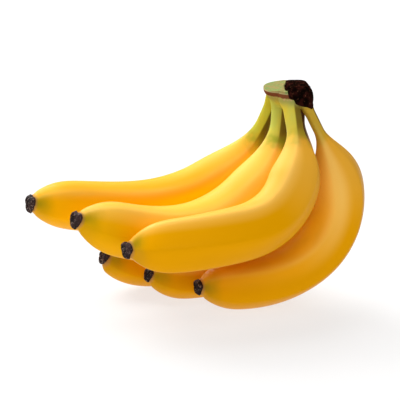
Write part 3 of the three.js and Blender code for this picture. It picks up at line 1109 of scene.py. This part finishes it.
def fresh_colour(paint, place, ragged):
    """The necks, the webs, the rim and the cut, from below upwards."""
    height = paint.node("SeparateXYZ", {}, {0: place}, 2)
    level = height + ragged
    skin = neck_colour(paint, place, paint.note("neck_dull", 0), paint.note("neck_fresh", 0))
    skin = (level.rising(*WEB_BAND) * WEB_SHARE).colour(skin, WEB_GREEN)
    spots = paint.clouds(place, 0.5, 2).rising(0.55, 0.68)
    skin = (spots * level.rising(*SPOT_BAND) * SPOT_SHARE).colour(skin, RIM_PINK)
    # The rim band: its own brown with painted shade under the cut's edge.
    skin = level.rising(*RIM_BAND).colour(skin, RIM_BROWN_AND_SHADE)
    skin = height.rising(*EDGE_BAND).colour(skin, CUT_EDGE)
    return height.rising(*CUT_BAND).colour(skin, cut_colour(paint, place))


print("crown's colours ready")

# %% [markdown]
# ## The dried end
#
# The dried end is nearly black with maroon patches, and the tan specks of its
# fibre are strongest on the raised folds, which is why the points noted them.
# Dry skin doesn't mirror, so the crown's shine is turned off.

# %% Paint the crown
RAGGED, DRIED_RAGGED = 1.6, 0.12
FLECK_STRETCH = (1, 1, 0.5)
CROWN_ROUGHNESS, DRIED_ROUGHER = 0.45, 0.2
CROWN_GRAIN, CROWN_STRENGTH = 0.35 * MM, 0.6


def dried_colour(paint, place):
    dark = paint.clouds(place, 0.2).rising(0.44, 0.62).colour(DRIED_BLACK, DRIED_MAROON)
    flecks = paint.clouds(paint.stretched(place, FLECK_STRETCH), 0.8, 3, 0.6).rising(0.60, 0.70)
    raised = paint.note("folds").rising(0.8, 1.8) * 0.5 + 0.25
    return (flecks * raised).colour(dark, DRIED_TAN)


def make_crown():
    paint, finish = painted("cut_crown", **{"Specular IOR Level": 0.0})
    place = paint.place()
    ragged = (paint.clouds(place, 0.35) - 0.5) * RAGGED
    dried_part = (paint.note("dried") + ragged * DRIED_RAGGED).rising(0.35, 0.6)
    skin = dried_part.colour(fresh_colour(paint, place, ragged), dried_colour(paint, place))
    gloss = paint.clouds(place, 0.6) * 0.3 + CROWN_ROUGHNESS + dried_part * DRIED_ROUGHER
    normal = paint.bump(paint.clouds(place, 1.2, 5, 0.65), CROWN_GRAIN, CROWN_STRENGTH)
    return finish(**{"Base Color": skin, "Roughness": gloss, "Normal": normal})


crown_skin.data.materials.append(make_crown())
print("crown painted")

# %% [markdown]
# ## The flower ends' finish
#
# The stubs are dry skin too, but greyer: nearly black, brown in places, and thick
# with pale specks of dried petal. Their bump is deep, because the finest shreds
# are smaller than the faces of the mesh.

# %% Paint the flower ends
DRY_BLACK, DRY_BROWN, DRY_PALE = tint(26, 14, 14), tint(58, 36, 34), tint(150, 126, 112)
DRY_LOOK = {"Roughness": 0.75, "Specular IOR Level": 0.2}
DRY_SPECKS, DRY_GRAIN, DRY_STRENGTH = 0.8, 1.4 * MM, 0.9


def make_dry_flower():
    paint, finish = painted("dry_flower", **DRY_LOOK)
    place = paint.place()
    colour = paint.clouds(place, 0.121).rising(0.40, 0.62).colour(DRY_BLACK, DRY_BROWN)
    specks = paint.clouds(place, 0.715, 3, 0.6).rising(0.56, 0.66)
    colour = (specks * DRY_SPECKS).colour(colour, DRY_PALE)
    normal = paint.bump(paint.clouds(place, 0.495, 5, 0.65), DRY_GRAIN, DRY_STRENGTH)
    return finish(**{"Base Color": colour, "Normal": normal})


dry_flower = make_dry_flower()
for piece in stubs.values():
    piece.data.materials.append(dry_flower)
print("flower ends painted")

# %% [markdown]
# ## The floor
#
# The bunch stands on a plain pale floor, wide enough to hide its edge. It glows a
# little: that lights the bellies from below, as a white table in a bright room
# does, and keeps the shadows faint.

# %% Lay the floor
FLOOR_RADIUS, FLOOR_POINTS = 6.0, 64
FLOOR_LOOK = {"Base Color": tint(132, 132, 132), "Emission Color": (1, 1, 1),
              "Emission Strength": 0.7, "Roughness": 0.9}


def lay_floor():
    turns = [2 * math.pi * k / FLOOR_POINTS for k in range(FLOOR_POINTS)]
    corners = [(FLOOR_RADIUS * math.cos(turn), FLOOR_RADIUS * math.sin(turn), 0) for turn in turns]
    mesh = bpy.data.meshes.new("floor")
    mesh.from_pydata(corners, [], [tuple(range(FLOOR_POINTS))])
    paint, finish = painted("pale_floor", **FLOOR_LOOK)
    mesh.materials.append(finish())
    add_object("floor", mesh)


lay_floor()
print("floor laid, radius", FLOOR_RADIUS, "m")

# %% [markdown]
# ## Soft light
#
# Each lamp is a sun with a wide disc, which lights the whole floor alike and
# throws soft shadows. One would leave the necks and the sides too dark, so the
# strongest stand behind the bunch on its left, and weaker ones fill in from the
# front, the right and overhead. Their angles are the camera's, counted from it
# going left. A faint glow, brighter on their side, stands for a white room.

# %% Hang the lamps
# Degrees round from the camera, degrees above the table, strength, width in degrees.
LAMPS = {
    "high_lamp": (120, 61, 1.8, 46),
    "key_lamp": (140, 35, 2.1, 40),
    "back_lamp": (177, 38, 0.7, 44),
    "low_back_lamp": (148, 10, 0.75, 40),
    "front_lamp": (0, 33, 1.0, 40),
    "overhead_lamp": (90, 85, 0.3, 40),
    "right_lamp": (320, 58, 0.15, 46),
}
ROOM_BRIGHT_SIDE = (-0.8, 0.6, 0.6)
ROOM_FADE = (-0.6, 0.7)
ROOM_DIM, ROOM_BRIGHT = 0.07, 0.15


def hang_lamp(name, round_degrees, above_degrees, strength, width_degrees):
    data = bpy.data.lights.new(name, "SUN")
    data.energy = strength
    data.angle = math.radians(width_degrees)
    lamp = add_object(name, data)
    comes_from = camera_axes(CAMERA_ROUND - round_degrees, above_degrees)[2]
    lamp.rotation_euler = (-comes_from).to_track_quat("-Z", "Y").to_euler()


def light_room():
    world = bpy.data.worlds.new("white_room")
    world.use_nodes = True
    paint = Paint(world.node_tree)
    way = paint.node("TexCoord", output=0)
    bright_side = Vector(ROOM_BRIGHT_SIDE).normalized()
    facing = paint.node("VectorMath", {"operation": "DOT_PRODUCT"}, {0: way, 1: bright_side}, 1)
    glow = facing.rising(*ROOM_FADE) * (ROOM_BRIGHT - ROOM_DIM) + ROOM_DIM
    room = paint.node("Background", {}, {"Color": (1, 1, 1), "Strength": glow})
    paint.node("OutputWorld", {}, {"Surface": room})
    bpy.context.scene.world = world


for name, settings in LAMPS.items():
    hang_lamp(name, *settings)
light_room()
bpy.context.scene.view_settings.view_transform = "Standard"
print(len(LAMPS), "lamps and a faint glow")
